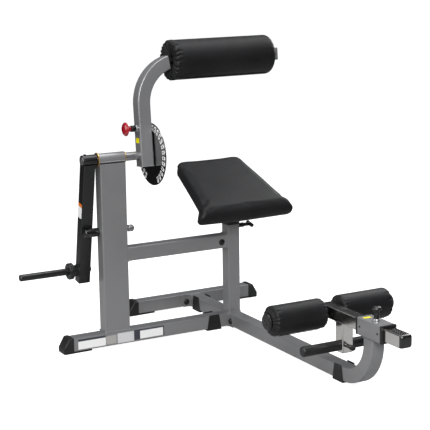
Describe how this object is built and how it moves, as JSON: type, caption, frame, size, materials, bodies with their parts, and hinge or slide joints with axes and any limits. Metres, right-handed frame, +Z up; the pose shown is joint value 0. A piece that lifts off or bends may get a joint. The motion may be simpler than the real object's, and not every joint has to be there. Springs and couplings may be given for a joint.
{
  "type": "roman chair",
  "caption": "Seated trunk machine on a tube frame: swinging roller arm indexed on a disc, plate-loaded weight arm, sloping height-adjustable seat and sliding foot rollers.",
  "frame": {"origin": "floor, under the centre of the machine's bounding box", "axes": "+Z up; -Y towards the user's feet, +Y the back; -X the side with the weight arm"},
  "size_m": [1.1362, 1.4992, 1.1216],
  "materials": {
    "frame_paint": "satin grey powder coat",
    "black_paint": "satin black powder coat",
    "gloss_black": "gloss",
    "rubber": "matte",
    "black_plastic": "satin",
    "plated_steel": "bright nickel",
    "bright_steel": "turned",
    "bronze": "sintered bronze",
    "black_vinyl": "fine-grained vinyl over foam",
    "red_plastic": "gloss",
    "plywood": "plain"
  },
  "bodies": {
    "frame": {"main_beam": "frame_paint", "front_cross_tube": "frame_paint", "rear_cross_tube": "frame_paint", "upright": "frame_paint", "pivot_housing": "frame_paint", "brace_tube": "frame_paint", "seat_post": "frame_paint", "foot_sleeve": "frame_paint", "front_cross_shoe": "rubber", "rear_left_shoe": "rubber", "rear_right_shoe": "rubber", "cross_tube_shoe": "rubber", "beam_rear_shoe": "rubber", "beam_front_shoe": "rubber", "cross_flange_bolt_front": "black_paint", "cross_flange_bolt_rear": "black_paint", "beam_flange_bolt_left": "black_paint", "beam_flange_bolt_right": "black_paint", "brace_bolt": "black_paint", "stop_bumper": "rubber", "stop_bolt": "bright_steel", "left_bushing": "bronze", "right_bushing": "bronze", "post_bushing": "black_plastic", "sleeve_bushing_front": "black_plastic", "sleeve_bushing_rear": "black_plastic", "seat_pin_barrel": "black_plastic", "foot_pin_barrel": "black_plastic", "seat_pin_spring": "bright_steel", "foot_pin_spring": "bright_steel"},
    "swing": {"pivot_shaft": "bright_steel", "weight_arm_hub": "black_paint", "weight_arm": "black_paint", "weight_horn": "black_paint", "horn_collar": "black_paint", "horn_bolt": "black_paint", "index_disc": "gloss_black"},
    "pad_arm": {"pad_arm": "frame_paint", "pad_arm_bushing": "bright_steel", "index_pin_barrel": "black_plastic", "roller_bar": "frame_paint", "index_pin_spring": "bright_steel"},
    "index_pin": {"index_pin_knob": "red_plastic"},
    "chest_roller": {"chest_roller": "black_vinyl"},
    "seat_carriage": {"seat_inner_post": "plated_steel", "seat_bracket": "frame_paint", "seat_board": "plywood", "seat_pad": "black_vinyl"},
    "seat_pin": {"seat_pin_handle": "black_plastic"},
    "foot_slide": {"slide_tube": "plated_steel", "slide_front_cap": "black_plastic", "foot_axle": "black_plastic", "drop_tube": "plated_steel", "foot_bar": "bright_steel", "foot_grip_left": "rubber", "foot_grip_right": "rubber", "foot_bar_lock": "black_plastic"},
    "foot_roller_left": {"foot_roller_left": "black_vinyl"},
    "foot_roller_right": {"foot_roller_right": "black_vinyl"},
    "foot_pin": {"foot_pin_knob": "black_plastic"}
  },
  "joints": [
    {"name": "swing", "type": "hinge", "parent": "frame", "child": "swing", "pos_m": [-0.22815, 0.3867, 0.706], "axis": [1, 0, 0], "range_deg": [0, 80]},
    {"name": "pad_arm_index", "type": "hinge", "parent": "swing", "child": "pad_arm", "pos_m": [-0.08815, 0.3867, 0.706], "axis": [1, 0, 0], "range_deg": [-24, 36]},
    {"name": "index_pin_pull", "type": "slide", "parent": "pad_arm", "child": "index_pin", "axis": [-1, 0, 0], "range_m": [0, 0.01], "stiffness_N_per_m": 600, "springref_m": -0.005, "deforming": ["index_pin_spring"]},
    {"name": "chest_roller_spin", "type": "hinge", "parent": "pad_arm", "child": "chest_roller", "pos_m": [0.24505, 0.41494, 1.04583], "axis": [1, 0, 0], "continuous": true},
    {"name": "seat_height", "type": "slide", "parent": "frame", "child": "seat_carriage", "axis": [0, 0, 1], "range_m": [0, 0.1]},
    {"name": "seat_pin_pull", "type": "slide", "parent": "frame", "child": "seat_pin", "axis": [1, 0, 0], "range_m": [0, 0.012], "stiffness_N_per_m": 600, "springref_m": -0.005, "deforming": ["seat_pin_spring"]},
    {"name": "foot_slide", "type": "slide", "parent": "frame", "child": "foot_slide", "axis": [0, 1, 0], "range_m": [-0.07, 0.07]},
    {"name": "foot_roller_left_spin", "type": "hinge", "parent": "foot_slide", "child": "foot_roller_left", "pos_m": [0.13635, -0.3033, 0.219], "axis": [1, 0, 0], "continuous": true},
    {"name": "foot_roller_right_spin", "type": "hinge", "parent": "foot_slide", "child": "foot_roller_right", "pos_m": [0.40735, -0.3033, 0.219], "axis": [1, 0, 0], "continuous": true},
    {"name": "foot_pin_pull", "type": "slide", "parent": "frame", "child": "foot_pin", "axis": [0, 0, 1], "range_m": [0, 0.01], "stiffness_N_per_m": 600, "springref_m": -0.005, "deforming": ["foot_pin_spring"]}
  ]
}
